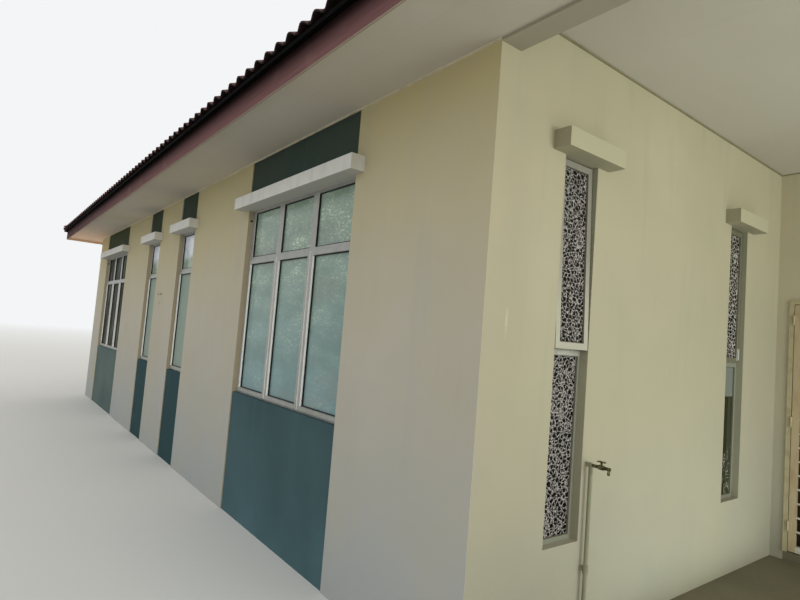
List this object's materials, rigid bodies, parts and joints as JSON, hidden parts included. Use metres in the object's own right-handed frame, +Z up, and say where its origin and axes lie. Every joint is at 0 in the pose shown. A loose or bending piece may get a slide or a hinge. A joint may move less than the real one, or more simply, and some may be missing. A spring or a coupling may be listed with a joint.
{
  "type": "single-storey bungalow",
  "caption": "Single-storey bungalow of rendered walls with green window bands, concrete window hoods, a hipped tiled roof and a corner porch with a hinged grille gate.",
  "frame": {"origin": "on the ground, under the middle of the rectangle that the eaves cover", "axes": "+Z up, +Y from the front of the house to the rear along its length, +X to the right seen from the front"},
  "size_m": [10.17, 16.72, 5.6465],
  "materials": {
    "cream_render": "smooth cement render under cream masonry paint",
    "green_render": "smooth cement render under dark green masonry paint",
    "painted_concrete": "fair-faced concrete under off-white paint",
    "window_aluminium": "natural anodised extrusion",
    "window_glass": "clear and obscure sheet glass",
    "floor_concrete": "trowelled cement floor",
    "ceiling_board": "flat fibre-cement board, painted off-white",
    "maroon_paint": "timber board under maroon gloss paint",
    "roof_tile": "coated concrete tile",
    "painted_timber": "moulded hardwood under cream paint",
    "hinge_steel": "steel hinge, painted over",
    "gate_paint": "welded steel under cream enamel",
    "dark_timber": "dark stained flush timber",
    "painted_pipe": "galvanised pipe painted with the wall",
    "tap_brass": "weathered cast brass"
  },
  "bodies": {
    "house": {"left_wall": "cream_render", "right_wall": "cream_render", "rear_wall": "cream_render", "front_wall": "cream_render", "porch_wall": "cream_render", "entrance_wall": "cream_render", "entrance_nib": "cream_render", "entrance_lintel": "cream_render", "porch_column": "cream_render", "porch_side_beam": "cream_render", "porch_front_beam": "cream_render", "left_panels": "green_render", "right_panels": "green_render", "rear_panels": "green_render", "front_panels": "green_render", "window_hoods": "painted_concrete", "left_window_frames": "window_aluminium", "right_window_frames": "window_aluminium", "rear_window_frames": "window_aluminium", "front_window_frames": "window_aluminium", "porch_window_frames": "window_aluminium", "porch_sashes": "window_aluminium", "left_window_glass": "window_glass", "right_window_glass": "window_glass", "rear_window_glass": "window_glass", "front_window_glass": "window_glass", "porch_window_glass": "window_glass", "house_floor": "floor_concrete", "porch_floor": "floor_concrete", "entrance_threshold": "floor_concrete", "house_ceiling": "ceiling_board", "porch_ceiling": "ceiling_board", "soffit_boards": "ceiling_board", "fascia_boards": "maroon_paint", "left_slope": "roof_tile", "right_slope": "roof_tile", "front_slope": "roof_tile", "rear_slope": "roof_tile", "ridge_cap": "roof_tile", "hip_caps": "roof_tile", "door_frame": "painted_timber", "hinge_pins": "hinge_steel", "standpipe": "painted_pipe", "tap": "tap_brass"},
    "gate": {"grille_gate": "gate_paint"},
    "door": {"entrance_door": "dark_timber"}
  },
  "joints": [
    {"name": "gate_hinge", "type": "hinge", "parent": "house", "child": "gate", "pos_m": [-0.943, -2.8785, 1.2], "axis": [0, 0, -1], "range_deg": [0, 90]},
    {"name": "door_hinge", "type": "hinge", "parent": "house", "child": "door", "pos_m": [-0.757, -2.8785, 1.2], "axis": [0, 0, 1], "range_deg": [0, 90]}
  ]
}
